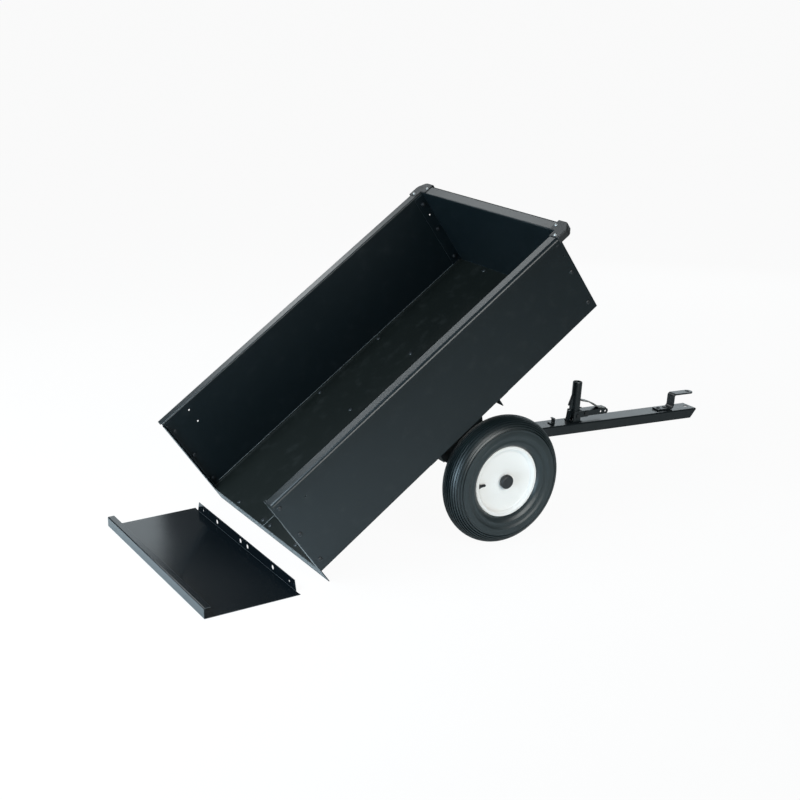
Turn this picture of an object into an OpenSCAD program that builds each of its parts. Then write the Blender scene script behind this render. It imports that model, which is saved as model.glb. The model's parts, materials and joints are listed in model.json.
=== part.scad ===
// Tipping dump cart for towing behind a garden tractor, shown tipped with its tailgate laid on the ground.
// Lengths are in millimetres. +X points to the hitch, +Y to the left side, +Z up.
// The ground is z = 0 and the origin is the middle of the part's box at ground level.

/* [Bed] */
// Inside length of the bed along its floor
bed_length = 1207; // [1100:1:1340]
// Inside width between the side panels
bed_width = 762; // [700:1:840]
// Inside height of the panels above the floor
bed_height = 310; // [270:1:340]
// Thickness of the bed's sheet steel
sheet = 2; // [1.6:0.1:2.4]
// Width of the flange along the top of each panel
rail_width = 38; // [32:1:44]
// Height of the lip turned down at the edge of that flange
rail_lip = 18; // [14:1:22]
// Depth of the rear sill below the top of the floor
sill_drop = 52; // [44:1:60]

/* [Wheels] */
// Outside diameter of the tyres
wheel_diameter = 416.6; // [390:0.1:440]
// Section width of the tyres
tyre_width = 105; // [95:1:114]
// Diameter of the rim where the tyre's bead sits
bead_diameter = 203.2; // [190:0.1:215]
// Width of the rim over its flanges
rim_width = 64; // [58:1:70]
// Distance between the middle planes of the two wheels
track = 764; // [750:1:820]
// Diameter of the axle
axle_diameter = 19; // [16:0.5:22]
// Distance from the rear edge of the floor forward to the axle
axle_setback = 626; // [590:1:660]
// Room between the tyre and the top of the floor
wheel_floor_gap = 21; // [18:1:30]

/* [Tongue] */
// Length of the tongue from the axle to its front end
tongue_length = 1150; // [1080:1:1260]
// Width of the tongue channel
tongue_width = 76; // [70:1:84]
// Depth of the tongue channel
tongue_depth = 35; // [32:1:42]
// Wall of the tongue channel
tongue_wall = 3; // [2.4:0.1:3.6]
// Angle by which the tongue's nose hangs below level when the bed is tipped
tongue_droop = 3.7; // [2:0.1:5]
// Diameter of the hitch pin hole
hitch_hole_diameter = 16.6; // [13:0.1:19]
// Height of the hitch strap's raised end above the tongue
hitch_rise = 58; // [50:1:66]

/* [Latch] */
// Height of the latch handle's top above the tongue
handle_height = 145; // [130:1:160]
// Diameter of the latch handle tube
handle_diameter = 34; // [30:1:38]

/* [Tailgate] */
// Height of the tailgate's turned edges
gate_edge = 34; // [28:1:40]
// Distance from the rear sill back to the tailgate on the ground
gate_behind = 114; // [90:1:140]
// Sideways place of the tailgate on the ground
gate_aside = -40; // [-60:1:-10]

/* [Hidden] */
$fn = 64;

// Clearances and the overrun of cuts
cut = 1;
seat_gap = 0.05;
hole_gap = 0.3;
face_gap = 0.5;
seam_gap = 0.4;

// Fasteners
bolt_r = 4;
head_r = 8;
head_h = 3.2;
nut_r = 7.5;
nut_h = 6.5;
thread_end = 2;
screw_r = 2.5;
screw_head_r = 5.5;
screw_head_h = 2.6;
screw_length = 12;

// Bed: half widths, levels and edges in the bed's own frame, from the floor's rear edge
half_in = bed_width / 2;
half_out = half_in + sheet;
rail_out = half_out + rail_width;
flange_in = 30;
under_floor = -sheet;
under_flange = -2 * sheet;
front_face = bed_length + sheet;
ledge_out = front_face + rail_width;
lap_back = 8;
lap_under = 18;
fold = 38;
fold_gap = 3;

// Braces, sill and the rows of floor bolts
brace_wall = 2.5;
brace_depth = 28;
brace_width = 40;
brace_leg_in = 14;
brace_rear_ahead = 134;
brace_front_ahead = 151;
brace_top = under_flange;
brace_places = [axle_setback - brace_rear_ahead, axle_setback + brace_front_ahead];
sill_wall = 3;
sill_leg = 32;
row_edge = 16;
sill_row = row_edge;
front_row = bed_length - row_edge;
row_inner = 25;
sill_row_outer = 200;
front_row_outer = 218;
brace_row_inner = 150;
wall_row_in = 16;
brace_row_outer = half_in - wall_row_in;

// Tailgate guides and the bolts through the side panels
slot_depth = 20;
slot_width = 5;
guide_wall = 2;
guide_foot = 23;
guide_front = sheet + slot_width;
guide_low = 2;
guide_top_gap = 9;
guide_bolt_x = guide_front + guide_wall + guide_foot / 2;
guide_bolt_shares = [0.1, 0.47, 0.84];
front_bolt_x = bed_length - fold / 2;
front_bolt_shares = [0.1, 0.51, 0.87];
punch_r = 3;
punch_back = 102;
punch_front = 16;
punch_high_share = 0.91;
punch_mid_share = 0.74;
punch_front_share = 0.71;

// Corner caps
cap_wall = 2.5;
cap_arm = 68;
cap_chamfer = 26;
cap_skirt = 20;
cap_screw_in = 9;
cap_x = ledge_out + hole_gap + cap_wall;
cap_y = rail_out + hole_gap + cap_wall;
cap_screw_x = cap_x - cap_arm + cap_screw_in;
cap_screw_y = cap_y - cap_arm + cap_screw_in;

// Axle, its supports and the tip angle at which the sill meets the ground
wheel_r = wheel_diameter / 2;
axle_r = axle_diameter / 2;
axle_drop = wheel_r + wheel_floor_gap;
support_wall = 4;
support_inset = 128;
support_y = track / 2 - support_inset;
support_boss = 42;
sill_lift = axle_drop - sill_drop;
tip_angle = asin(wheel_r / sqrt(pow(axle_setback, 2) + pow(sill_lift, 2))) + atan(sill_lift / axle_setback);
sill_x = -axle_setback * cos(tip_angle) - sill_lift * sin(tip_angle);

// Tongue levels in its own frame, from the axle
web_gap = 1.5;
tongue_top = axle_r + web_gap + tongue_wall;
tongue_low = tongue_top - tongue_depth;
tongue_tail = 105;
tongue_slant = 25;
travel = tip_angle + tongue_droop;
stop_r = 8;
stop_reach = 80;
stop_level = tongue_top + stop_r + hole_gap;
stop_x = -stop_reach * cos(travel) + stop_level * sin(travel);
stop_z = stop_reach * sin(travel) + stop_level * cos(travel);
stop_end = 6;

// Hitch strap
strap_wall = 6;
strap_width = 36;
strap_foot = 172;
strap_bend = 101;
hitch_setback = 20;
hitch_r = hitch_hole_diameter / 2;
strap_bolt_edge = 15;
strap_bolt_bend = 27;
strap_bolt_places = [
    tongue_length - strap_foot + strap_bolt_edge, tongue_length - strap_bend - strap_bolt_bend
];

// Front stand under the bed and the strike pin, placed where the tongue lies when the bed is down
stand_wall = 3;
stand_half = 30;
stand_back = 74;
stand_front = 41;
stand_plate_half = 45;
stand_plate_front = 7;
latch_ahead = 11;
handle_r = handle_diameter / 2;
handle_x = front_face - axle_setback + latch_ahead;
strike_r = 5;
strike_edge = 9;
strike_lift = 52;
strike_end = 4;
strike_behind = 11;
strike_at = handle_x - handle_r - strike_behind;
strike_x = strike_at + axle_setback;
strike_z = tongue_top + strike_lift - axle_drop;
stand_low = tongue_top - axle_drop + face_gap;

// Latch on the tongue, in the tongue's frame
handle_wall = 2.5;
handle_low = 12;
pivot_lift = 22;
pivot_r = 5;
ear_wall = 3;
ear_gap = 1.5;
ear_in = handle_r + ear_gap;
ear_out = ear_in + ear_wall;
ear_top = 40;
ear_step = 12;
ear_arm_low = 16;
ear_front = 46;
ear_back = 21;
ear_top_back = 17;
rib_half = 5;
rib_back = 38;
rib_top_back = 28;
rib_in = 24;
rib_top_in = 20;
foot_front = 20;
hook_half = 6;
hook_low = 46;
hook_high = 96;
hook_nose = 4;
hook_over = 1;
hook_gap = 1;
stand_bolt_out = 12;
bar_bolt_front = 35;
bar_back = 24;
bar_length = 115;
bar_low = 18;
bar_height = 20;
bar_wall = 2.5;
bar_ring_r = 3.5;
bar_ring_back = 12;
bar_ring_pitch = 21;
bar_top = tongue_top + bar_low + bar_height;
bar_front = handle_x + bar_back + bar_length;
leaf_wall = 2;
leaf_width = 28;
leaf_foot = 28;
leaf_rise = 36;
rivet_r = 2.5;
rivet_head_r = 4.5;
rivet_head_h = 1.5;
rivet_pitch = 13;
tab_wall = 4;
tab_width = 18;
tab_height = 20;
tab_foot = 20;
tab_lip = 4;
tab_gap = 5;

// Wheel
tyre_wall = 9;
bead_gap = 0.2;
tread_grooves = 5;
groove_step = 15;
groove_depth = 4;
groove_width = 3;
rim_wall = 3;
rim_flange = 12.5;
rim_dish = 13;
hub_r = 18;
hub_in = 38;
bush_r = 13;
bush_flange_r = 17;
bush_flange = 3;
bush_length = 22;
washer = 2;
washer_r = 17;
pin_gap = 3;
pin_r = 2;
pin_length = 34;
cap_r = 22.5;
cap_depth = 14.5;
cap_shell = 2.5;
cap_boss_r = 14;
cap_boss = 6;
axle_end_gap = 1;
spacer_r = 14;
valve_r = 4;
valve_cap_r = 4.8;
valve_cap_length = 9;
valve_reach = 14;
valve_out = 6;
valve_tip = bead_diameter / 2 - rim_wall - valve_reach;
hub_proud = 4;
hub_out = rim_width / 2 - rim_dish + hub_proud;
bush_face = track / 2 + hub_out + bush_flange;
bush_back = track / 2 - hub_in - bush_flange;
pin_y = bush_face + washer + pin_gap;
cap_y0 = bush_face + washer + face_gap;
axle_half = cap_y0 + cap_depth - cap_shell - axle_end_gap;

// Tailgate
gate_side_gap = 2;
gate_top_gap = 4;
gate_half = half_in - guide_wall - gate_side_gap / 2;
gate_height = bed_height - gate_top_gap;
gate_lip = 22;
gate_inset = 25;
gate_chamfer = 10;
gate_hole_r = 7;
gate_small_r = 3.5;
gate_small_in = 44;
gate_hole_places = [-sill_row_outer, -row_inner, row_inner, sill_row_outer];

// The part's ends along X, seen from the axle, put the origin in the middle
gate_x = sill_x - gate_behind;
x_low = gate_x - gate_height;
x_high = tongue_length * cos(tongue_droop) + (tongue_top + hitch_rise) * sin(tongue_droop);
x_middle = (x_low + x_high) / 2;

steel_black = "#1b2023";
steel_lit = "#39434a";
rubber_black = "#15181b";
rim_white = "#e8ece8";
bolt_grey = "#4a5054";
spring_grey = "#8d9296";

// Places each group of pieces
module bed_place()
    translate([-x_middle, 0, wheel_r]) rotate([0, -tip_angle, 0])
        translate([-axle_setback, 0, axle_drop]) children();

module tongue_place()
    translate([-x_middle, 0, wheel_r]) rotate([0, tongue_droop, 0]) children();

module wheel_place(side)
    translate([-x_middle, 0, wheel_r]) mirror([0, side < 0 ? 1 : 0, 0])
        translate([0, track / 2, 0]) children();

module axle_place()
    translate([-x_middle, 0, wheel_r]) children();

module on_side(side) mirror([0, side < 0 ? 1 : 0, 0]) children();

// Turns a profile drawn in x and z into a solid of the given width across the cart
module across(width) rotate([90, 0, 0]) linear_extrude(width, center = true) children();

// Turns a profile drawn in y and z into a solid from one x to another
module along(from, to) translate([from, 0, 0]) rotate([90, 0, 90]) linear_extrude(to - from) children();

// A rectangle between two corners
module area(low, high) translate(low) square(high - low);

// A round bar along Y between two places
module bar_y(r, from, to) translate([0, from, 0]) rotate([-90, 0, 0]) cylinder(r = r, h = to - from);

module tube_y(r, bore, from, to) difference() {
    bar_y(r, from, to);
    bar_y(bore, from - cut, to + cut);
}

module dome(r, h) {
    ball = (pow(r, 2) + pow(h, 2)) / (2 * h);
    intersection() {
        translate([0, 0, h - ball]) sphere(ball);
        cylinder(r = r, h = h);
    }
}

// A round-headed bolt with its head standing on z = 0 and its shank below
module bolt(grip) union() {
    dome(head_r, head_h);
    translate([0, 0, -grip - nut_h - thread_end])
        cylinder(r = bolt_r, h = grip + nut_h + thread_end + head_h / 2);
}

// The nut of that bolt
module nut(grip) translate([0, 0, -grip - nut_h]) difference() {
    cylinder(r = nut_r, h = nut_h, $fn = 6);
    translate([0, 0, -cut]) cylinder(r = bolt_r + seat_gap, h = nut_h + 2 * cut);
}

// Every bolt through the floor: its place along and across the bed, and what it grips
brace_grip = -brace_top + brace_wall;
sill_grip = sheet + sill_wall;
front_grip = 2 * sheet;
stand_grip = front_grip + stand_wall;
floor_places = [
    for (x = brace_places, y = [brace_row_inner, brace_row_outer], side = [-1, 1]) [x, side * y, brace_grip],
    for (y = [row_inner, sill_row_outer], side = [-1, 1]) [sill_row, side * y, sill_grip],
    for (side = [-1, 1]) [front_row, side * row_inner, stand_grip],
    for (side = [-1, 1]) [front_row, side * front_row_outer, front_grip]
];

module floor_holes() for (place = floor_places)
    translate([place[0], place[1], -axle_drop]) cylinder(r = bolt_r + hole_gap, h = axle_drop + cut);

// Every bolt through a side panel: its place along the bed and its height
side_places = [
    for (share = guide_bolt_shares) [guide_bolt_x, bed_height * share],
    for (share = front_bolt_shares) [front_bolt_x, bed_height * share]
];
side_grip = 2 * sheet;

module at_side_places() for (place = side_places)
    translate([place[0], half_out, place[1]]) rotate([-90, 0, 0]) children();

module side_holes() at_side_places()
    translate([0, 0, -fold]) cylinder(r = bolt_r + hole_gap, h = fold + cut);

// Holes punched through each side panel, the front one through the front panel's fold too
module punched_holes() for (place = [
    [punch_back, punch_high_share], [punch_back, punch_mid_share],
    [bed_length - punch_front, punch_front_share]
]) translate([place[0], 0, bed_height * place[1]]) bar_y(punch_r, half_in - sheet - cut, half_out + cut);

module cap_screw_places() {
    translate([cap_screw_x, half_out + rail_width / 2, 0]) children();
    translate([front_face + rail_width / 2, cap_screw_y, 0]) children();
}

module cap_screw_holes() cap_screw_places()
    translate([0, 0, bed_height - rail_lip]) cylinder(r = screw_r + hole_gap, h = 2 * rail_lip);

// Bed
module floor_left() color(steel_black) bed_place() difference() {
    translate([0, seam_gap / 2, under_floor]) cube([bed_length, half_in - seam_gap / 2, sheet]);
    floor_holes();
}

module floor_right() color(steel_black) bed_place() difference() {
    union() {
        translate([0, -half_in, under_floor]) cube([bed_length, half_in - seam_gap / 2, sheet]);
        translate([sill_leg + fold_gap, -lap_back, under_flange])
            cube([bed_length - fold - sill_leg - 2 * fold_gap, lap_back + lap_under, sheet]);
    }
    floor_holes();
}

module side_panel(side) color(steel_lit) bed_place() on_side(side) difference() {
    union() {
        along(0, front_face) {
            area([half_in, under_flange], [half_out, bed_height]);
            area([half_in, bed_height - sheet], [rail_out, bed_height]);
            area([rail_out - sheet, bed_height - rail_lip], [rail_out, bed_height]);
        }
        along(sill_leg + fold_gap, bed_length - fold - fold_gap)
            area([half_in - flange_in, under_flange], [half_out, under_floor]);
        along(0, sheet) area([half_in - slot_depth, guide_low], [half_out, bed_height - guide_top_gap]);
    }
    floor_holes();
    side_holes();
    cap_screw_holes();
    punched_holes();
}

module side_panel_left() side_panel(1);
module side_panel_right() side_panel(-1);

module front_panel() color(steel_black) bed_place() difference() {
    union() {
        along(bed_length, front_face) area([-half_in, under_flange], [half_in, bed_height]);
        along(bed_length, ledge_out) area([-half_in, bed_height - sheet], [half_in, bed_height]);
        along(ledge_out - sheet, ledge_out) area([-half_in, bed_height - rail_lip], [half_in, bed_height]);
        along(bed_length - fold, front_face)
            area([-half_in + flange_in, under_flange], [half_in - flange_in, under_floor]);
        for (side = [-1, 1]) on_side(side) along(bed_length - fold, front_face)
            area([half_in - sheet, fold_gap], [half_in, bed_height - fold_gap]);
    }
    floor_holes();
    for (side = [-1, 1]) on_side(side) {
        side_holes();
        cap_screw_holes();
        punched_holes();
    }
}

module cap_plan(inset) difference() {
    reach = inset > 0 ? cut : 0;
    corner = cap_chamfer + inset * sqrt(2);
    union() {
        area([cap_x - cap_arm - reach, half_in - reach], [cap_x - inset, cap_y - inset]);
        area([bed_length - reach, cap_y - cap_arm - reach], [cap_x - inset, cap_y - inset]);
    }
    polygon([[cap_x - corner, cap_y], [cap_x, cap_y - corner], [cap_x, cap_y]]);
}

module corner_cap(side) color(rubber_black) bed_place() on_side(side) difference() {
    union() {
        translate([0, 0, bed_height]) linear_extrude(cap_wall) cap_plan(0);
        translate([0, 0, bed_height - cap_skirt]) linear_extrude(cap_skirt) difference() {
            cap_plan(0);
            cap_plan(cap_wall);
        }
    }
    cap_screw_holes();
}

module corner_cap_left() corner_cap(1);
module corner_cap_right() corner_cap(-1);

module cap_screws() color(bolt_grey) bed_place() for (side = [-1, 1]) on_side(side) cap_screw_places()
    translate([0, 0, bed_height + cap_wall]) union() {
        dome(screw_head_r, screw_head_h);
        translate([0, 0, -screw_length]) cylinder(r = screw_r, h = screw_length + screw_head_h / 2);
    }

module tailgate_guide(side) color(steel_black) bed_place() on_side(side) difference() {
    translate([0, 0, guide_low]) linear_extrude(bed_height - guide_top_gap - guide_low) {
        area([guide_front, half_in - slot_depth], [guide_front + guide_wall, half_in]);
        area([guide_front, half_in - guide_wall], [guide_front + guide_wall + guide_foot, half_in]);
    }
    side_holes();
}

module tailgate_guide_left() tailgate_guide(1);
module tailgate_guide_right() tailgate_guide(-1);

// An angle under the floor, with its leg on the axle's side
module cross_brace(place, way) color(steel_lit) bed_place() difference() {
    translate([place, 0, 0]) mirror([way < 0 ? 1 : 0, 0, 0]) across(2 * half_in) {
        area([brace_leg_in - brace_width, brace_top - brace_wall], [brace_leg_in, brace_top]);
        area([brace_leg_in - brace_wall, brace_top - brace_depth], [brace_leg_in, brace_top]);
    }
    floor_holes();
}

module cross_brace_rear() cross_brace(brace_places[0], 1);
module cross_brace_front() cross_brace(brace_places[1], -1);

module rear_sill() color(steel_lit) bed_place() difference() {
    union() {
        along(0, sill_wall) area([-half_in, -sill_drop], [half_in, under_floor]);
        along(0, sill_wall) area([-half_out, -sill_drop], [half_out, under_flange]);
        along(0, sill_leg)
            area([-half_in + flange_in, under_floor - sill_wall], [half_in - flange_in, under_floor]);
    }
    floor_holes();
}

module front_stand() color(steel_black) bed_place() difference() {
    union() {
        translate([0, 0, under_flange - stand_wall]) linear_extrude(stand_wall)
            area(
                [bed_length - stand_back, -stand_plate_half],
                [bed_length - stand_plate_front, stand_plate_half]
            );
        translate([0, 0, stand_low]) linear_extrude(under_flange - stand_low)
            area([bed_length - stand_back, -stand_half], [bed_length - stand_back + stand_wall, stand_half]);
        for (side = [-1, 1]) translate([0, side * (stand_half - stand_wall / 2), 0]) across(stand_wall) {
            area([bed_length - stand_back, stand_low], [bed_length - stand_front, under_flange]);
            area([bed_length - stand_back, stand_low], [strike_x + strike_edge, strike_z + strike_edge]);
        }
    }
    floor_holes();
    translate([strike_x, 0, strike_z]) bar_y(strike_r + seat_gap, -stand_half - cut, stand_half + cut);
}

module strike_pin() color(bolt_grey) bed_place() translate([strike_x, 0, strike_z])
    bar_y(strike_r, -stand_half - strike_end, stand_half + strike_end);

module support_outline() {
    rear = brace_places[0] + brace_leg_in;
    front = brace_places[1] - brace_leg_in;
    polygon([
        [rear, brace_top], [rear, brace_top - brace_depth],
        [axle_setback - support_boss, -axle_drop], [axle_setback + support_boss, -axle_drop],
        [front, brace_top - brace_depth], [front, brace_top]
    ]);
    translate([axle_setback, -axle_drop]) circle(support_boss);
}

module axle_support(side) color(steel_black)
    bed_place() on_side(side) translate([0, support_y, 0]) difference() {
    across(support_wall) support_outline();
    translate([axle_setback, 0, -axle_drop]) bar_y(axle_r + seat_gap, -support_wall, support_wall);
    translate([axle_setback + stop_x, 0, stop_z - axle_drop])
        bar_y(stop_r + seat_gap, -support_wall, support_wall);
}

module axle_support_left() axle_support(1);
module axle_support_right() axle_support(-1);

module tip_stop_rod() color(bolt_grey) bed_place() translate([axle_setback + stop_x, 0, stop_z - axle_drop])
    bar_y(stop_r, -support_y - support_wall / 2 - stop_end, support_y + support_wall / 2 + stop_end);

// Axle and what sits on it
module axle() color(bolt_grey) axle_place() difference() {
    bar_y(axle_r, -axle_half, axle_half);
    for (side = [-1, 1]) translate([0, side * pin_y, -pin_length])
        cylinder(r = pin_r + seat_gap, h = 2 * pin_length);
}

module tongue_spacers() color(bolt_grey) axle_place() for (side = [-1, 1]) on_side(side)
    tube_y(spacer_r, axle_r + seat_gap, tongue_width / 2 + face_gap, support_y - support_wall / 2);

module wheel_spacers() color(bolt_grey) axle_place() for (side = [-1, 1]) on_side(side)
    tube_y(spacer_r, axle_r + seat_gap, support_y + support_wall / 2, bush_back - face_gap - washer);

module axle_washers() color(bolt_grey) axle_place() for (side = [-1, 1]) on_side(side) {
    tube_y(washer_r, axle_r + seat_gap, bush_back - face_gap - washer, bush_back - face_gap);
    tube_y(washer_r, axle_r + seat_gap, bush_face + face_gap / 2, bush_face + face_gap / 2 + washer);
}

module cotter_pins() color(spring_grey) axle_place() for (side = [-1, 1])
    translate([0, side * pin_y, -pin_length / 2]) cylinder(r = pin_r, h = pin_length);

module axle_cap(side) color(rubber_black) axle_place() on_side(side) union() {
    difference() {
        bar_y(cap_r, cap_y0, cap_y0 + cap_depth);
        bar_y(cap_r - cap_shell, cap_y0 - cut, cap_y0 + cap_depth - cap_shell);
    }
    tube_y(
        cap_boss_r, axle_r + seat_gap,
        cap_y0 + cap_depth - cap_shell - cap_boss, cap_y0 + cap_depth - cap_shell
    );
}

module axle_cap_left() axle_cap(1);
module axle_cap_right() axle_cap(-1);

// Bolts of the bed
module floor_bolts() color(bolt_grey) bed_place() for (place = floor_places)
    translate([place[0], place[1], 0]) bolt(place[2]);

module floor_nuts() color(bolt_grey) bed_place() for (place = floor_places)
    translate([place[0], place[1], 0]) nut(place[2]);

module side_bolts() color(bolt_grey) bed_place()
    for (side = [-1, 1]) on_side(side) at_side_places() bolt(side_grip);

module side_nuts() color(bolt_grey) bed_place()
    for (side = [-1, 1]) on_side(side) at_side_places() nut(side_grip);

// Tongue and what is fixed to it
module strap_bolt_holes() for (x = strap_bolt_places)
    translate([x, 0, tongue_low]) cylinder(r = bolt_r + hole_gap, h = tongue_depth + hitch_rise);

stand_bolt_places = [handle_x - stand_bolt_out, handle_x + stand_bolt_out];

module stand_bolt_holes() for (x = stand_bolt_places)
    translate([x, 0, tongue_low]) cylinder(r = bolt_r + hole_gap, h = tongue_depth + ear_top);

module hitch_hole() translate([tongue_length - hitch_setback, 0, tongue_low - cut])
    cylinder(r = hitch_r, h = tongue_depth + hitch_rise + 2 * cut);

module tongue() color(steel_black) tongue_place() difference() {
    along(-tongue_tail, tongue_length) difference() {
        area([-tongue_width / 2, tongue_low], [tongue_width / 2, tongue_top]);
        area(
            [tongue_wall - tongue_width / 2, tongue_low - cut],
            [tongue_width / 2 - tongue_wall, tongue_top - tongue_wall]
        );
    }
    across(tongue_width + 2 * cut) polygon([
        [tongue_length - tongue_slant, tongue_low], [tongue_length - tongue_slant, tongue_low - cut],
        [tongue_length + cut, tongue_low - cut], [tongue_length + cut, tongue_top - tongue_wall],
        [tongue_length, tongue_top - tongue_wall]
    ]);
    bar_y(axle_r + seat_gap, -tongue_width, tongue_width);
    hitch_hole();
    strap_bolt_holes();
    stand_bolt_holes();
}

module hitch_strap() color(steel_black) tongue_place() difference() {
    intersection() {
        across(strap_width) union() {
            area(
                [tongue_length - strap_foot, tongue_top],
                [tongue_length - strap_bend + strap_wall, tongue_top + strap_wall]
            );
            area(
                [tongue_length - strap_bend, tongue_top],
                [tongue_length - strap_bend + strap_wall, tongue_top + hitch_rise]
            );
            area(
                [tongue_length - strap_bend, tongue_top + hitch_rise - strap_wall],
                [tongue_length, tongue_top + hitch_rise]
            );
        }
        translate([0, 0, tongue_top - cut]) linear_extrude(hitch_rise + 2 * cut) {
            area([0, -strap_width], [tongue_length - strap_width / 2, strap_width]);
            translate([tongue_length - strap_width / 2, 0]) circle(strap_width / 2);
        }
    }
    hitch_hole();
    strap_bolt_holes();
}

strap_grip = strap_wall + tongue_wall;

module strap_bolts() color(bolt_grey) tongue_place() for (x = strap_bolt_places)
    translate([x, 0, tongue_top + strap_wall]) bolt(strap_grip);

module strap_nuts() color(bolt_grey) tongue_place() for (x = strap_bolt_places)
    translate([x, 0, tongue_top + strap_wall]) nut(strap_grip);

module rest_tab() color(steel_black) tongue_place()
    translate([bed_length - stand_back - axle_setback - tab_gap, 0, tongue_top]) across(tab_width) {
        area([-tab_foot, 0], [0, tab_wall]);
        area([-tab_wall, 0], [0, tab_height]);
        area([-tab_lip - tab_wall, tab_height - tab_wall], [0, tab_height]);
    }

// Latch stand: a foot, two ears and a sloped rib behind them, drawn from the handle's axis
// and the tongue's top
module ear_outline() polygon([
    [-ear_back, 0], [ear_step, 0], [ear_step, ear_arm_low], [ear_front, ear_arm_low],
    [ear_front, ear_top], [-ear_top_back, ear_top]
]);

module rib_outline() polygon([
    [-rib_back, 0], [-rib_in, 0], [-rib_top_in, ear_top], [-rib_top_back, ear_top]
]);

module latch_stand() color(steel_black) tongue_place() difference() {
    translate([handle_x, 0, tongue_top]) {
        for (side = [-1, 1]) translate([0, side * (ear_in + ear_wall / 2), 0]) across(ear_wall) ear_outline();
        across(2 * rib_half) rib_outline();
        across(2 * ear_out) area([-rib_in - ear_wall, 0], [foot_front, ear_wall]);
    }
    stand_bolt_holes();
    translate([handle_x, 0, tongue_top + pivot_lift]) bar_y(pivot_r + seat_gap, -tongue_width, tongue_width);
    translate([handle_x + bar_bolt_front, 0, bar_top - bar_height / 2])
        bar_y(bolt_r + hole_gap, -tongue_width, tongue_width);
}

latch_grip = ear_wall + tongue_wall;

module stand_bolts() color(bolt_grey) tongue_place() for (x = stand_bolt_places)
    translate([x, 0, tongue_top + ear_wall]) bolt(latch_grip);

module stand_nuts() color(bolt_grey) tongue_place() for (x = stand_bolt_places)
    translate([x, 0, tongue_top + ear_wall]) nut(latch_grip);

// The handle turns on this bolt, which has a head at one end and a nut face at the other
module latch_pivot_bolt() color(bolt_grey) tongue_place() translate([handle_x, 0, tongue_top + pivot_lift]) {
    bar_y(pivot_r, -ear_out - cut, ear_out + cut);
    for (side = [-1, 1]) on_side(side) bar_y(nut_r, ear_out, ear_out + head_h);
}

module spring_bar() color(steel_black) tongue_place() difference() {
    translate([handle_x + bar_back, 0, tongue_top + bar_low]) difference() {
        across(2 * ear_in) {
            area([0, 0], [bar_length - bar_height / 2, bar_height]);
            translate([bar_length - bar_height / 2, bar_height / 2]) circle(bar_height / 2);
        }
        across(2 * (ear_in - bar_wall)) area([-cut, -cut], [bar_length + cut, bar_height - bar_wall]);
    }
    translate([handle_x + bar_bolt_front, 0, bar_top - bar_height / 2])
        bar_y(bolt_r + hole_gap, -tongue_width, tongue_width);
    for (step = [0, 1])
        translate([bar_front - bar_ring_back - step * bar_ring_pitch, 0, bar_top - bar_height / 2])
            bar_y(bar_ring_r, -tongue_width, tongue_width);
    rivet_places() translate([0, 0, -bar_height / 2]) cylinder(r = rivet_r + hole_gap, h = bar_height);
}

module bar_bolt() color(bolt_grey) tongue_place()
    translate([handle_x + bar_bolt_front, 0, bar_top - bar_height / 2]) {
        bar_y(bolt_r, -ear_out - cut, ear_out + cut);
        for (side = [-1, 1]) on_side(side) bar_y(nut_r, ear_out, ear_out + head_h);
    }

// Leaf spring: a flat foot on the bar, then a bow that rises to the handle
leaf_start = bar_front - leaf_foot - bar_ring_back / 2;
leaf_run = leaf_start - handle_x - handle_r - hole_gap;
leaf_chord = sqrt(pow(leaf_run, 2) + pow(leaf_rise, 2));
leaf_lean = atan(leaf_rise / leaf_run);
leaf_bend_share = 1.2;
leaf_r = leaf_chord * leaf_bend_share;
leaf_half = asin(leaf_chord / 2 / leaf_r);

module rivet_places() for (way = [-1, 1])
    translate([leaf_start + (leaf_foot + way * rivet_pitch) / 2, 0, bar_top]) children();

module leaf_bow() intersection() {
    translate([-leaf_run / 2, leaf_rise / 2]) rotate(-leaf_lean)
        translate([0, -leaf_r * cos(leaf_half)]) difference() {
            circle(leaf_r + leaf_wall);
            circle(leaf_r);
        }
    area([-leaf_run, 0], [0, leaf_chord]);
}

module leaf_spring() color(spring_grey) tongue_place() translate([leaf_start, 0, bar_top]) difference() {
    across(leaf_width) {
        leaf_bow();
        area([-leaf_wall, 0], [leaf_foot, leaf_wall]);
    }
    translate([-leaf_start, 0, -bar_top]) rivet_places()
        translate([0, 0, -leaf_wall]) cylinder(r = rivet_r + hole_gap, h = 3 * leaf_wall);
}

module spring_rivets() color(bolt_grey) tongue_place() rivet_places() union() {
    translate([0, 0, leaf_wall]) dome(rivet_head_r, rivet_head_h);
    translate([0, 0, -bar_wall]) cylinder(r = rivet_r, h = bar_wall + leaf_wall + rivet_head_h / 2);
    translate([0, 0, -bar_wall - rivet_head_h]) cylinder(r = rivet_head_r, h = rivet_head_h);
}

// Latch handle and the hook welded to its back
module latch_handle() color(steel_black) tongue_place() translate([handle_x, 0, tongue_top]) difference() {
    translate([0, 0, handle_low]) cylinder(r = handle_r, h = handle_height - handle_low);
    translate([0, 0, handle_low - cut]) cylinder(r = handle_r - handle_wall, h = handle_height + cut);
    translate([0, 0, pivot_lift]) bar_y(pivot_r + seat_gap, -tongue_width, tongue_width);
}

module latch_hook() color(steel_black) tongue_place() translate([0, 0, tongue_top]) difference() {
    across(2 * hook_half) polygon([
        [handle_x, hook_low], [strike_at + strike_r + hook_gap, hook_low],
        [strike_at + strike_r + hook_gap, strike_lift + strike_r + face_gap],
        [strike_at - hook_over, strike_lift + strike_r + face_gap],
        [strike_at - hook_over, strike_lift + strike_r + face_gap + hook_nose],
        [handle_x - handle_r, hook_high], [handle_x, hook_high]
    ]);
    translate([handle_x, 0, 0]) cylinder(r = handle_r, h = handle_height);
}

// Wheels, drawn round Z with the outer side up and then turned to face outwards
module wheel_turn(side) wheel_place(side) rotate([-90, 0, 0]) children();

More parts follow.
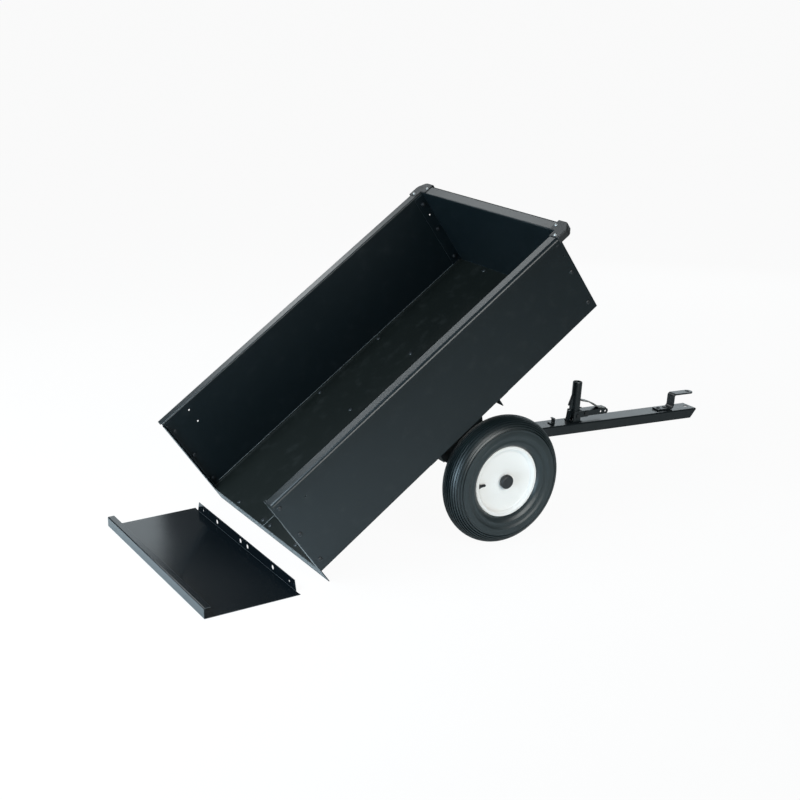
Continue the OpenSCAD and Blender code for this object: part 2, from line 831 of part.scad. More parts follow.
module tyre_section() {
    bead_r = bead_diameter / 2;
    half = tyre_width / 2;
    middle = wheel_r - half;
    flange_r = bead_r + rim_flange + bead_gap;
    translate([middle, 0]) difference() {
        circle(half);
        circle(half - tyre_wall);
        translate([-half - cut, -half]) square([bead_r + bead_gap - middle + half + cut, tyre_width]);
        for (way = [-1, 1]) mirror([0, way < 0 ? 1 : 0])
            area([-half, rim_width / 2 - rim_wall - bead_gap], [flange_r - middle, half]);
        for (step = [0 : tread_grooves - 1]) rotate((step - (tread_grooves - 1) / 2) * groove_step)
            area([half - groove_depth, -groove_width / 2], [half + cut, groove_width / 2]);
    }
}

module tyre(side) color(rubber_black) wheel_turn(side) rotate_extrude() tyre_section();
module tyre_left() tyre(1);
module tyre_right() tyre(-1);

module rim_section() {
    bead_r = bead_diameter / 2;
    half = rim_width / 2;
    dish = half - rim_dish;
    difference() {
        area([bead_r - rim_wall, -half], [bead_r + rim_flange, half]);
        area([bead_r, rim_wall - half], [bead_r + rim_flange + cut, half - rim_wall]);
    }
    area([hub_r - rim_wall, dish - rim_wall], [bead_r - rim_wall / 2, dish]);
    area([bush_r + seat_gap, -hub_in], [hub_r, hub_out]);
}

module rim(side) color(rim_white) wheel_turn(side) difference() {
    rotate_extrude() rim_section();
    valve_place() translate([0, 0, valve_tip]) cylinder(r = valve_r + hole_gap, h = wheel_r);
}

module rim_left() rim(1);
module rim_right() rim(-1);

module wheel_bushes(side) color(spring_grey) wheel_turn(side) for (end = [0, 1])
    translate([0, 0, end * hub_out - (1 - end) * hub_in]) mirror([0, 0, end]) difference() {
        union() {
            translate([0, 0, -bush_flange]) cylinder(r = bush_flange_r, h = bush_flange);
            cylinder(r = bush_r, h = bush_length);
        }
        translate([0, 0, -bush_flange - cut])
            cylinder(r = axle_r + seat_gap, h = bush_length + bush_flange + 2 * cut);
    }

module wheel_bushes_left() wheel_bushes(1);
module wheel_bushes_right() wheel_bushes(-1);

// Lies in the dish and points from the rim towards the hub
module valve_place() translate([0, 0, rim_width / 2 - rim_dish + valve_out]) rotate([0, -90, 0]) children();

module valve_stem(side) color(rubber_black) wheel_turn(side) valve_place()
    translate([0, 0, valve_tip]) cylinder(r = valve_r, h = valve_reach + rim_wall / 2);

module valve_stem_left() valve_stem(1);
module valve_stem_right() valve_stem(-1);

module valve_cap(side) color(rubber_black) wheel_turn(side) valve_place()
    translate([0, 0, valve_tip - valve_cap_length]) cylinder(r = valve_cap_r, h = valve_cap_length);

module valve_cap_left() valve_cap(1);
module valve_cap_right() valve_cap(-1);

// Tailgate, laid with its inner face up and its top edge to the rear
module tailgate() color(steel_lit) translate([gate_x - x_middle, gate_aside, 0]) difference() {
    union() {
        across(2 * gate_half) {
            area([-gate_height, 0], [0, sheet]);
            area([-gate_height, 0], [-gate_height + sheet, gate_edge]);
            area([-gate_height, gate_edge - sheet], [-gate_height + gate_lip, gate_edge]);
        }
        along(-sheet, 0) polygon([
            [-gate_half + gate_inset, 0], [gate_half - gate_inset, 0],
            [gate_half - gate_inset - gate_chamfer, gate_edge],
            [-gate_half + gate_inset + gate_chamfer, gate_edge]
        ]);
    }
    for (y = gate_hole_places) translate([-sheet - cut, y, gate_edge / 2]) rotate([0, 90, 0])
        cylinder(r = gate_hole_r, h = sheet + 2 * cut);
    for (side = [-1, 1])
        translate([-sheet - cut, side * (gate_half - gate_inset - gate_small_in), gate_edge / 2])
            rotate([0, 90, 0])
            cylinder(r = gate_small_r, h = sheet + 2 * cut);
}

floor_left();
floor_right();
side_panel_left();
side_panel_right();
front_panel();
corner_cap_left();
corner_cap_right();
tailgate_guide_left();
tailgate_guide_right();
cross_brace_front();
cross_brace_rear();
rear_sill();
front_stand();
strike_pin();
axle_support_left();
axle_support_right();
axle();
tip_stop_rod();
tongue_spacers();
wheel_spacers();
axle_washers();
cotter_pins();
axle_cap_left();
axle_cap_right();
floor_bolts();
floor_nuts();
side_bolts();
side_nuts();
cap_screws();
tongue();
hitch_strap();
strap_bolts();
strap_nuts();
rest_tab();
latch_stand();
stand_bolts();
stand_nuts();
latch_pivot_bolt();
spring_bar();
bar_bolt();
leaf_spring();
spring_rivets();
latch_handle();
latch_hook();
tyre_left();
rim_left();
wheel_bushes_left();
valve_stem_left();
valve_cap_left();
tyre_right();
rim_right();
wheel_bushes_right();
valve_stem_right();
valve_cap_right();
tailgate();
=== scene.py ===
# %% [markdown]
# # A tipping dump cart
# The cart is pressed sheet steel on two pneumatic wheels, and it stands tipped, with its tailgate
# laid on the ground behind it. The CAD model already fixes every size and joint, so this lesson
# dresses it: each solid is replaced by a piece with rolled edges, bend radii and a real finish.

# %% Load the fixed frame
import json
import math

import bmesh
import bpy
from mathutils import Matrix, Vector


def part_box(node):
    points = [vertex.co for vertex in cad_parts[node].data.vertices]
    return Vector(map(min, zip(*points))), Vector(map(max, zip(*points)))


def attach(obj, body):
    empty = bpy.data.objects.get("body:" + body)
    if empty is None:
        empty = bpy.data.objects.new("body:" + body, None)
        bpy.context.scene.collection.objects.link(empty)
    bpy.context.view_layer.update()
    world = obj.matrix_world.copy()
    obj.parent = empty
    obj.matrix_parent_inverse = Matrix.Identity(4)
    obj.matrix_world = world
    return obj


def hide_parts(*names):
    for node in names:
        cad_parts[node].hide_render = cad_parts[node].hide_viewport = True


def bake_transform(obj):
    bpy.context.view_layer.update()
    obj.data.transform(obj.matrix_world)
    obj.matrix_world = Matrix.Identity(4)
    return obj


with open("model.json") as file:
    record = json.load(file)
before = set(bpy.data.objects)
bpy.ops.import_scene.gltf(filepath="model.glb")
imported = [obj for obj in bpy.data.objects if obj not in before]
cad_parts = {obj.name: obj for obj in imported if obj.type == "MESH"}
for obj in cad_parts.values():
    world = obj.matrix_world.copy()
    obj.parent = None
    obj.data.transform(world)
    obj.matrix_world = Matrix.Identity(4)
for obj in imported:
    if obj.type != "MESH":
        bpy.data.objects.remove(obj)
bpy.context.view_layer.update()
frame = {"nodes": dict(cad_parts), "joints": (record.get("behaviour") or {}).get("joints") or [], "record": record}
record = frame["record"]
body_of = {node: body for body, nodes in record["behaviour"]["bodies"].items() for node in nodes}
slot_of = {row["node"]: row["material_slot"] for row in record["subparts"]}

# %% [markdown]
# The cart has four natural frames: the tipped bed, the drooping tongue, the axle and the loose
# tailgate. Writing each piece in the frame it was made in keeps its numbers square and in
# millimetres. One matrix per frame then puts it in place and turns millimetres into metres.

# %% Frames of the bed, tongue, axle and tailgate
bed_length, bed_half, bed_height, sheet = 1207.0, 381.0, 310.0, 2.0
wheel_r, axle_setback, floor_gap, sill_drop = 208.3, 626.0, 21.0, 52.0
track, tongue_droop, tongue_top = 764.0, 3.7, 14.0
axle_drop = wheel_r + floor_gap
sill_lift = axle_drop - sill_drop
tip = math.asin(wheel_r / math.hypot(axle_setback, sill_lift)) + math.atan(sill_lift / axle_setback)
axle_at = Vector(next(j for j in frame["joints"] if j["name"] == "tongue_pivot")["pos_m"])
metres = Matrix.Scale(0.001, 4)
on_axle = Matrix.Translation(axle_at) @ metres
in_bed = (Matrix.Translation(axle_at) @ Matrix.Rotation(-tip, 4, "Y") @ metres
          @ Matrix.Translation((-axle_setback, 0, axle_drop)))
in_tongue = Matrix.Translation(axle_at) @ Matrix.Rotation(math.radians(tongue_droop), 4, "Y") @ metres
gate_low, gate_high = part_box("tailgate")
on_ground = Matrix.Translation((gate_high.x, (gate_low.y + gate_high.y) / 2, 0)) @ metres
sides = {"left": 1, "right": -1}


def mirrored(place, side):
    """The same frame for the left side (1) or the right side (-1) of the cart."""
    return place @ Matrix.Diagonal((1, side, 1, 1))


def on_wheel(side):
    """The frame of a wheel, with Y along the axle and pointing outwards."""
    return mirrored(on_axle, side) @ Matrix.Translation((0, track / 2, 0))


print("bed tipped by", round(math.degrees(tip), 2), "degrees, axle at", tuple(round(c, 4) for c in axle_at))

# %% [markdown]
# A finish is a small tree of shader nodes. Written as plain arithmetic it stays readable, so one
# class wraps a socket: + and * make Math nodes, and one method adds any other node with its settings
# and its inputs.


# %% A socket that can be reckoned with
class Tint:
    def __init__(self, tree, socket=None):
        self.tree = tree
        self.socket = socket

    def add(self, kind, settings=None, inputs=None, out=0):
        node = self.tree.nodes.new("ShaderNode" + kind)
        for key, value in (settings or {}).items():
            setattr(node, key, value)
        for key, value in (inputs or {}).items():
            if isinstance(value, Tint):
                self.tree.links.new(value.socket, node.inputs[key])
            else:
                node.inputs[key].default_value = value
        return Tint(self.tree, node.outputs[out] if node.outputs else None)

    def math(self, operation, first, second):
        return self.add("Math", {"operation": operation}, {0: first, 1: second})

    def __add__(self, other):
        return self.math("ADD", self, other)

    def __radd__(self, other):
        return self.math("ADD", other, self)

    def __mul__(self, other):
        return self.math("MULTIPLY", self, other)

    def __rmul__(self, other):
        return self.math("MULTIPLY", other, self)

    def over(self, low, high):
        """0 below low, 1 above high."""
        return self.add("MapRange", {}, {"Value": self, "From Min": low, "From Max": high})

    def noise(self, coords, scale, detail=3.0, rough=0.5):
        inputs = {"Vector": coords, "Scale": scale, "Detail": detail, "Roughness": rough}
        return self.add("TexNoise", {}, inputs)

    def blend(self, amount, low, high):
        """From the low colour to the high one by an amount; each is a socket or three numbers."""
        pair = [c if isinstance(c, Tint) else (*c, 1) for c in (low, high)]
        return self.add("Mix", {"data_type": "RGBA"}, {0: amount, 6: pair[0], 7: pair[1]}, out=2)


def start_finish(name):
    """A new material, its tree, its shader and the object's own coordinates."""
    material = bpy.data.materials.new(name)
    material.use_nodes = True
    tree = material.node_tree
    shader = tree.nodes["Principled BSDF"]
    tint = Tint(tree)
    coords = tint.add("TexCoord", out=3)
    return material, tint, shader, coords


def feed(tint, shader, **values):
    """Links or sets the shader's inputs; an underscore stands for a space."""
    for key, value in values.items():
        socket = shader.inputs[key.replace("_", " ")]
        if isinstance(value, Tint):
            tint.tree.links.new(value.socket, socket)
        else:
            socket.default_value = value


finishes = {}
print("finish tools ready")

# %% [markdown]
# The bed, tongue and tailgate wear the same semi-gloss black enamel. Sprayed enamel is never one flat
# black: it has a fine orange peel, the thin sheet below it is slightly wavy, and handling leaves dull
# scuffs and a few hair scratches. The colour stays almost black, and the roughness and the bump do
# the work. The bed's floor has a duller mix and the tailgate a deeper and glossier one. A greyer mix is
# kept for the narrow rounded edges, where paint wears first. A much paler one is a painted highlight
# on the floor's edges, for the light that their coved bend catches.


# %% Black enamel and its worn edges
def black_enamel(name, low, high, rough, wear, gloss):
    material, tint, shader, coords = start_finish(name)
    cloud = tint.noise(coords, 2.6, 3.0)
    scuff = tint.noise(coords, 21.0, 6.0, 0.62).over(0.55, 0.78)
    streak_coords = tint.add("Mapping", {}, {"Vector": coords, "Scale": (9.0, 120.0, 260.0)})
    streak = tint.noise(streak_coords, 1.0, 2.0).over(0.68, 0.8)
    dust = tint.noise(coords, 330.0, 2.0).over(0.66, 0.8)
    worn = (scuff * 0.35 + streak * 0.3 + dust * 0.25) * wear
    colour = tint.blend(worn, tint.blend(cloud, low, high), (0.16, 0.165, 0.16))
    peel = tint.noise(coords, 620.0, 2.0)
    wave = tint.noise(coords, 5.5, 1.0)
    wavy = tint.add("Bump", {}, {"Strength": 0.22, "Distance": 0.0035, "Height": wave})
    skin = tint.add("Bump", {}, {"Strength": 0.07, "Distance": 0.0004, "Height": peel, "Normal": wavy})
    feed(tint, shader, Base_Color=colour, Roughness=rough + cloud * 0.08 + worn * 0.5, Normal=skin,
         Specular_IOR_Level=gloss)
    return material


# Each mix: low and high colour, roughness, wear and gloss
enamel_mixes = {
    "black_enamel": ((0.0034, 0.0068, 0.0086), (0.005, 0.0092, 0.0114), 0.29, 0.12, 0.5),
    "floor_enamel": ((0.0024, 0.004, 0.0034), (0.004, 0.006, 0.005), 0.5, 0.16, 0.22),
    "gate_enamel": ((0.0014, 0.0032, 0.0046), (0.0022, 0.0046, 0.0066), 0.1, 0.03, 0.5),
    "worn_edge": ((0.014, 0.019, 0.022), (0.045, 0.052, 0.056), 0.3, 0.4, 0.5),
    # The last mix is a painted highlight: pale grey enamel for the floor sheets' edges.
    "rubbed_edge": ((0.05, 0.058, 0.06), (0.14, 0.15, 0.15), 0.32, 0.4, 0.5),
}
for name, mix in enamel_mixes.items():
    finishes[name] = black_enamel(name, *mix)
print("enamel finishes", list(finishes))

# %% [markdown]
# The tyres are clean black rubber with a soft shine, a little greyer where they have been handled.
# The rims are off-white enamel, and the caps and valves are moulded black plastic with a fine
# spark-eroded grain. All three are a base colour, a roughness and a bump at the real scale.


# %% Rubber, rim enamel and moulded plastic
def tyre_rubber():
    material, tint, shader, coords = start_finish("tyre_rubber")
    bloom = tint.noise(coords, 7.0, 4.0).over(0.35, 0.75)
    grit = tint.noise(coords, 420.0, 2.0)
    colour = tint.blend(bloom, (0.0058, 0.0118, 0.0136), (0.0106, 0.0196, 0.0218))
    skin = tint.add("Bump", {}, {"Strength": 0.12, "Distance": 0.0005, "Height": grit})
    feed(tint, shader, Base_Color=colour, Roughness=0.32 + bloom * 0.1 + grit * 0.08, Normal=skin,
         Specular_IOR_Level=0.7)
    return material


def rim_enamel():
    material, tint, shader, coords = start_finish("rim_enamel")
    cloud = tint.noise(coords, 12.0, 3.0)
    speck = tint.noise(coords, 260.0, 2.0).over(0.7, 0.8)
    colour = tint.blend(cloud, (0.885, 0.855, 0.825), (0.915, 0.875, 0.845))
    colour = tint.blend(speck * 0.3, colour, (0.5, 0.5, 0.46))
    peel = tint.noise(coords, 520.0, 2.0)
    skin = tint.add("Bump", {}, {"Strength": 0.05, "Distance": 0.0004, "Height": peel})
    feed(tint, shader, Base_Color=colour, Roughness=0.3 + cloud * 0.1, Normal=skin)
    return material


def moulded_plastic(name, low, high, rough):
    material, tint, shader, coords = start_finish(name)
    cloud = tint.noise(coords, 30.0, 3.0)
    grain = tint.noise(coords, 900.0, 2.0)
    skin = tint.add("Bump", {}, {"Strength": 0.18, "Distance": 0.0003, "Height": grain})
    feed(tint, shader, Base_Color=tint.blend(cloud, low, high), Roughness=rough + grain * 0.12, Normal=skin)
    return material


finishes["tyre_rubber"] = tyre_rubber()
finishes["rim_enamel"] = rim_enamel()
plastic_mixes = {
    "black_plastic": ((0.011, 0.012, 0.013), (0.02, 0.021, 0.022), 0.42),
    "bush_nylon": ((0.5, 0.49, 0.45), (0.58, 0.57, 0.52), 0.4),
}
for name, mix in plastic_mixes.items():
    finishes[name] = moulded_plastic(name, *mix)
print("rubber, rim and plastic finishes made")

# %% [markdown]
# The fasteners are small, but they are what the eye takes as metal. Zinc plate is a pale grey metal
# with a cloudy crystal bloom, black bolts are dark with polished high spots, and the leaf spring is
# bare steel with grinding marks that run along it.


# %% Zinc, black bolts and spring steel
def plated_steel(name, low, high, rough, metal, scale):
    material, tint, shader, coords = start_finish(name)
    bloom = tint.noise(coords, 85.0, 4.0, 0.6)
    brushed = tint.add("Mapping", {}, {"Vector": coords, "Scale": scale})
    line = tint.noise(brushed, 1.0, 3.0)
    skin = tint.add("Bump", {}, {"Strength": 0.1, "Distance": 0.0003, "Height": line})
    colour = tint.blend(bloom, low, high)
    feed(tint, shader, Base_Color=colour, Roughness=rough + bloom * 0.14 + line * 0.08, Metallic=metal,
         Normal=skin)
    return material


# Each mix: low and high colour, roughness, metal and the scale of its grinding marks
steel_mixes = {
    "zinc_steel": ((0.40, 0.41, 0.42), (0.52, 0.53, 0.53), 0.32, 1.0, (90, 90, 900)),
    "spring_steel": ((0.2, 0.205, 0.2), (0.32, 0.325, 0.31), 0.4, 0.9, (40, 900, 900)),
    "black_bolt": ((0.01, 0.012, 0.014), (0.02, 0.022, 0.024), 0.3, 0.2, (200, 200, 200)),
    "bright_screw": ((0.42, 0.43, 0.43), (0.52, 0.53, 0.52), 0.3, 1.0, (300, 300, 300)),
}
for name, mix in steel_mixes.items():
    finishes[name] = plated_steel(name, *mix)
print("finishes", sorted(finishes))

# %% [markdown]
# Every piece ends the same way: its mesh is moved into place, holes are drilled with a Boolean, and a
# narrow Bevel rounds what is left sharp. On black enamel the bevel's faces take an edge finish: worn
# paint, and on the floor sheets a painted highlight. A Weighted Normal keeps the big flat sheets flat
# in the light. The piece then rides on the body of the solid that it replaces.


# %% From a bmesh to a finished piece
def drill(obj, holes, place):
    """Cuts round holes, each a middle, a direction, a radius and a depth to both sides."""
    tool = bmesh.new()
    for middle, way, radius, depth in holes:
        turn = Vector((0, 0, 1)).rotation_difference(Vector(way)).to_matrix().to_4x4()
        bmesh.ops.create_cone(tool, cap_ends=True, segments=28, radius1=radius, radius2=radius,
                              depth=2 * depth, matrix=Matrix.Translation(middle) @ turn)
    tool.transform(place)
    if place.determinant() < 0:
        bmesh.ops.reverse_faces(tool, faces=tool.faces[:])
    mesh = bpy.data.meshes.new("drill")
    tool.to_mesh(mesh)
    tool.free()
    cutter = bpy.data.objects.new("drill", mesh)
    bpy.context.scene.collection.objects.link(cutter)
    cut = obj.modifiers.new("holes", "BOOLEAN")
    cut.operation = "DIFFERENCE"
    cut.solver = "EXACT"
    cut.object = cutter
    graph = bpy.context.evaluated_depsgraph_get()
    drilled = bpy.data.meshes.new_from_object(obj.evaluated_get(graph))
    obj.modifiers.remove(cut)
    obj.data = drilled
    bpy.data.objects.remove(cutter)


sharp_angle, bevel_angle = math.radians(35), math.radians(40)


def make_piece(bm, name, place, nodes, edge=0.5, holes=(), finish=None, worn="worn_edge"):
    """Places a bmesh drawn in millimetres, finishes its edges and rides it on its node's body."""
    bm.transform(place)
    if place.determinant() < 0:
        bmesh.ops.reverse_faces(bm, faces=bm.faces[:])
    mesh = bpy.data.meshes.new(name)
    bm.to_mesh(mesh)
    bm.free()
    obj = bpy.data.objects.new(name, mesh)
    bpy.context.scene.collection.objects.link(obj)
    if holes:
        drill(obj, holes, place)
    mesh = obj.data
    mesh.name = name
    slot = slot_of[nodes[0]]
    mesh.materials.clear()
    mesh.materials.append(finishes[finish or slot])
    mesh.shade_smooth()
    mesh.set_sharp_from_angle(angle=sharp_angle)
    if edge:
        rounding = obj.modifiers.new("rounded edges", "BEVEL")
        rounding.width = edge * 0.001
        rounding.segments = 2
        rounding.limit_method = "ANGLE"
        rounding.angle_limit = bevel_angle
        rounding.harden_normals = True
        # The bevel's faces take the edge finish named by worn: worn paint by default, a painted highlight on the
        # floor sheets.
        if slot == "black_enamel":
            mesh.materials.append(finishes[worn])
            rounding.material = 1
        flat = obj.modifiers.new("flat faces", "WEIGHTED_NORMAL")
        flat.keep_sharp = True
        flat.weight = 90
    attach(obj, body_of[nodes[0]])
    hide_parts(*nodes)
    corners = [Vector(v.co) for v in mesh.vertices]
    low = Vector([min(c[i] for c in corners) for i in range(3)])
    high = Vector([max(c[i] for c in corners) for i in range(3)])
    boxes = [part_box(node) for node in nodes]
    cad_low = Vector([min(b[0][i] for b in boxes) for i in range(3)])
    cad_high = Vector([max(b[1][i] for b in boxes) for i in range(3)])
    off = max(max(abs(a) for a in low - cad_low), max(abs(a) for a in high - cad_high))
    print(f"{name}: {len(mesh.polygons)} faces, box within {off * 1000:.1f} mm of its solid")
    return obj


# %% [markdown]
# Most of the cart is sheet folded on a press brake. A fold is easy to draw as a wire with its corners
# rounded, pulled out to a width. The wire is one side of the sheet, so the thickness goes to the other
# side, and the bends keep their true inner and outer radius.


# %% A wire pulled into a folded sheet
def round_corners(bm, corners, radius, steps):
    bmesh.ops.bevel(bm, geom=corners, offset=radius, offset_type="OFFSET", segments=steps, profile=0.5,
                    affect="VERTICES", material=-1)


def rounded_wire(points, radii, steps=4):
    """A bmesh with an open wire through the points, each inner corner rounded by its radius."""
    bm = bmesh.new()
    line = [bm.verts.new(p) for p in points]
    for pair in zip(line, line[1:]):
        bm.edges.new(pair)
    for corner, radius in zip(line[1:-1], radii):
        round_corners(bm, [corner], radius, steps)
    return bm


def pull(bm, edges, way):
    """Extrudes edges along a vector and returns the new vertices."""
    out = bmesh.ops.extrude_edge_only(bm, edges=edges)
    new = [part for part in out["geom"] if isinstance(part, bmesh.types.BMVert)]
    bmesh.ops.translate(bm, verts=new, vec=way)
    return new


def thicken(bm, wall, point, facing):
    """Gives the sheet its wall, away from the side that faces the given way near the given point."""
    bmesh.ops.remove_doubles(bm, verts=bm.verts[:], dist=0.01)
    bmesh.ops.recalc_face_normals(bm, faces=bm.faces[:])
    bm.normal_update()
    near = min(bm.faces, key=lambda face: (face.calc_center_median() - Vector(point)).length)
    if near.normal.dot(Vector(facing)) < 0:
        bmesh.ops.reverse_faces(bm, faces=bm.faces[:])
    bmesh.ops.solidify(bm, geom=bm.faces[:], thickness=wall)
    return bm


def cut_through(bm, point, way, clear=False):
    """Cuts the sheet along a plane, and drops what lies ahead of the plane if asked."""
    bmesh.ops.bisect_plane(bm, geom=bm.verts[:] + bm.edges[:] + bm.faces[:], dist=0.001,
                           plane_co=point, plane_no=way, clear_outer=clear)


def edges_where(bm, test):
    """The edges whose both ends pass a test on their place."""
    return [e for e in bm.edges if all(test(v.co) for v in e.verts)]


def near_to(value, target):
    return abs(value - target) < 0.01


print("sheet tools ready")

# %% [markdown]
# The floor is two sheets that meet along the middle, where one laps a strip under the other. Each
# sheet's outer edge is coved up against the side panel, and its edges get a pale painted highlight for
# the light the cove catches: the thin pale line along the foot of the far panel. A folded wire gives that cove
# directly.

# %% Floor sheets
cove, cove_radius, seam, floor_edge = 7.0, 5.0, 0.5, 0.95
lap_short, lap_width, lap_back, lap_in = 84.0, 26.0, 4.0, 5.0
for hand, side in sides.items():
    bm = rounded_wire([(0, seam, 0), (0, bed_half - sheet, 0), (0, bed_half - sheet, cove)], [cove_radius])
    pull(bm, bm.edges[:], (bed_length, 0, 0))
    thicken(bm, sheet, (600, 100, 0), (0, 0, 1))
    if hand == "right":
        lap = bmesh.ops.create_cube(bm, size=1)["verts"]
        bmesh.ops.scale(bm, vec=(bed_length - lap_short, lap_width, sheet), verts=lap)
        bmesh.ops.translate(bm, vec=(bed_length / 2 - lap_back, -lap_in, -1.5 * sheet), verts=lap)
    # The floor's edges wear the painted highlight finish.
    make_piece(bm, "floor_sheet_" + hand, mirrored(in_bed, side), ["floor_" + hand], edge=floor_edge,
               finish="floor_enamel", worn="rubbed_edge")

# %% [markdown]
# Each side panel is one sheet: a short flange under the floor, the tall wall, a flat rail turned out
# along the top and a lip turned down at the rail's edge. At the rear a narrow return makes the slot
# for the tailgate. The wall has a few punched holes that let the light through.

# %% Side panels with their rails
rail_out, rail_lip, flange = 421.0, 18.0, 30.0
panel_front = bed_length + sheet
panel_bend, rail_roll = 4.5, 10.0
slot_depth, slot_low, slot_high = 20.0, 2.0, bed_height - 9
foot_rear, foot_front = 35.0, bed_length - 41
punch_r, punch_reach = 3.0, 4.0
punch_front = (bed_length - 16, 0.71)
punched = [(102, 0.91), (102, 0.74), punch_front]
side_line = [(sheet, bed_half, -2 * sheet), (sheet, bed_half, bed_height), (sheet, rail_out, bed_height),
             (sheet, rail_out, bed_height - rail_lip)]
for hand, side in sides.items():
    bm = rounded_wire(side_line, [panel_bend, rail_roll], 6)
    pull(bm, bm.edges[:], (panel_front - sheet, 0, 0))
    for level in (-sheet, slot_low, slot_high):
        cut_through(bm, (0, 0, level), (0, 0, 1))
    rear = edges_where(bm, lambda c: near_to(c.x, sheet) and near_to(c.y, bed_half)
                       and slot_low - 0.1 < c.z < slot_high + 0.1)
    pull(bm, rear, (0, -slot_depth, 0))
    for station in (foot_rear, foot_front):
        cut_through(bm, (station, 0, 0), (1, 0, 0))
    foot = edges_where(bm, lambda c: near_to(c.z, -sheet) and near_to(c.y, bed_half)
                       and foot_rear - 1 < c.x < foot_front + 1)
    pull(bm, foot, (0, -flange, 0))
    thicken(bm, sheet, (600, bed_half, 150), (0, -1, 0))
    holes = [((x, bed_half + 1, bed_height * share), (0, 1, 0), punch_r, punch_reach) for x, share in punched]
    make_piece(bm, "side_sheet_" + hand, mirrored(in_bed, side), ["side_panel_" + hand], holes=holes)

# %% [markdown]
# The front panel is folded the same way. Its ledge matches the side rails, a fold at the bottom
# carries the floor, and two folds at its sides lie against the side panels for the bolts.

# %% Front panel
ledge, fold, wing_low, wing_high = 38.0, 38.0, 6.0, bed_height - 9
ledge_out = panel_front + ledge
front_line = [(bed_length - fold, -bed_half, -sheet), (bed_length, -bed_half, -sheet),
              (bed_length, -bed_half, bed_height), (ledge_out, -bed_half, bed_height),
              (ledge_out, -bed_half, bed_height - rail_lip)]
bm = rounded_wire(front_line, [panel_bend, panel_bend, rail_roll], 6)
pull(bm, bm.edges[:], (0, 2 * bed_half, 0))
for level in (wing_low, wing_high):
    cut_through(bm, (0, 0, level), (0, 0, 1))
for side in (1, -1):
    wing = edges_where(bm, lambda c: near_to(c.x, bed_length) and near_to(c.y, side * bed_half)
                       and wing_low - 1 < c.z < wing_high + 1)
    pull(bm, wing, (-fold, 0, 0))
bmesh.ops.scale(bm, vec=(1, (bed_half - sheet) / bed_half, 1), verts=bm.verts[:])
thicken(bm, sheet, (bed_length, 0, 150), (-1, 0, 0))
punch_x, punch_z = punch_front[0], bed_height * punch_front[1]
holes = [((punch_x, side * (bed_half - 1), punch_z), (0, 1, 0), punch_r, punch_reach) for side in (1, -1)]
make_piece(bm, "front_sheet", in_bed, ["front_panel"], holes=holes)

# %% [markdown]
# A moulded cap covers each front corner, where rail and ledge meet. It is drawn as its flat outline,
# with the outer corner cut off and softened, and its outer edges are pulled down into a skirt. Two
# bright screws hold it, one in each arm.

# %% Corner caps
cap_x, cap_y, cap_arm, cap_chamfer, cap_wall, cap_skirt = 1249.8, 423.8, 68.0, 26.0, 2.5, 20.0
cap_soft, cap_roll = 7.0, 3.0
cap_top = bed_height + cap_wall
for hand, side in sides.items():
    bm = bmesh.new()
    outline = [(cap_x - cap_arm, bed_half), (bed_length, bed_half), (bed_length, cap_y - cap_arm),
               (cap_x, cap_y - cap_arm), (cap_x, cap_y - cap_chamfer), (cap_x - cap_chamfer, cap_y),
               (cap_x - cap_arm, cap_y)]
    ring = [bm.verts.new((x, y, cap_top)) for x, y in outline]
    bm.faces.new(ring)
    round_corners(bm, ring[4:6], cap_soft, 5)
    cut_line = cap_x + cap_y - cap_chamfer - cap_soft
    skirt = edges_where(bm, lambda c: c.x + c.y > cut_line or near_to(c.x, cap_x) or near_to(c.y, cap_y))
    pull(bm, skirt, (0, 0, -cap_skirt - cap_wall))
    bends = [e for e in edges_where(bm, lambda c: near_to(c.z, cap_top)) if len(e.link_faces) == 2]
    bmesh.ops.bevel(bm, geom=bends, offset=cap_roll, offset_type="OFFSET", segments=4, profile=0.5,
                    affect="EDGES", material=-1)
    thicken(bm, cap_wall, (cap_x - cap_arm, bed_half + 20, cap_top), (0, 0, 1))
    make_piece(bm, "corner_moulding_" + hand, mirrored(in_bed, side), ["corner_cap_" + hand], edge=0.7)

# %% [markdown]
# The rear sill is an angle under the floor's rear edge, and the cart stands on it when it is tipped.
# It is a two-leg folded strip.

# %% Rear sill
sill_out, sill_leg, sill_wall, sill_bend = bed_half + 1, 32.0, 3.0, 4.0
sill_line = [(0, -sill_out, -sill_drop), (0, -sill_out, -sheet), (sill_leg, -sill_out, -sheet)]
bm = rounded_wire(sill_line, [sill_bend])
pull(bm, bm.edges[:], (0, 2 * sill_out, 0))
thicken(bm, sill_wall, (0, 0, -30), (-1, 0, 0))
make_piece(bm, "sill_angle", in_bed, ["rear_sill"], edge=0.7)

# %% [markdown]
# The tongue is a folded channel, open below, with its front end cut on the slant. A plane cuts the
# open sheet before it gets its wall, so the slanted edge stays clean. The hitch pin hole goes right
# through, and the axle runs through both legs.

# %% Tongue channel
tongue_low, tongue_half, tongue_end, tongue_tail = -21.0, 38.0, 1150.0, 105.0
tongue_wall, tongue_bend, end_slant = 3.0, 5.0, (32, 0, -25)
hitch_back, hitch_r, axle_hole_r = 20.0, 8.3, 9.6
tongue_line = [(-tongue_tail, -tongue_half, tongue_low), (-tongue_tail, -tongue_half, tongue_top),
               (-tongue_tail, tongue_half, tongue_top), (-tongue_tail, tongue_half, tongue_low)]
bm = rounded_wire(tongue_line, [tongue_bend, tongue_bend], 5)
pull(bm, bm.edges[:], (tongue_tail + tongue_end, 0, 0))
cut_through(bm, (tongue_end, 0, tongue_top - tongue_wall), end_slant, clear=True)
thicken(bm, tongue_wall, (500, 0, tongue_top), (0, 0, 1))
holes = [((tongue_end - hitch_back, 0, tongue_top), (0, 0, 1), hitch_r, 20.0),
         ((0, 0, 0), (0, 1, 0), axle_hole_r, 60.0)]
make_piece(bm, "tongue_channel", in_tongue, ["tongue"], edge=0.6, holes=holes)

# %% [markdown]
# The hitch strap is one flat bar bent twice, so that its nose stands over the tongue's end and a pin
# can drop through both. Its nose is rounded, and the bends are generous because the bar is thick.

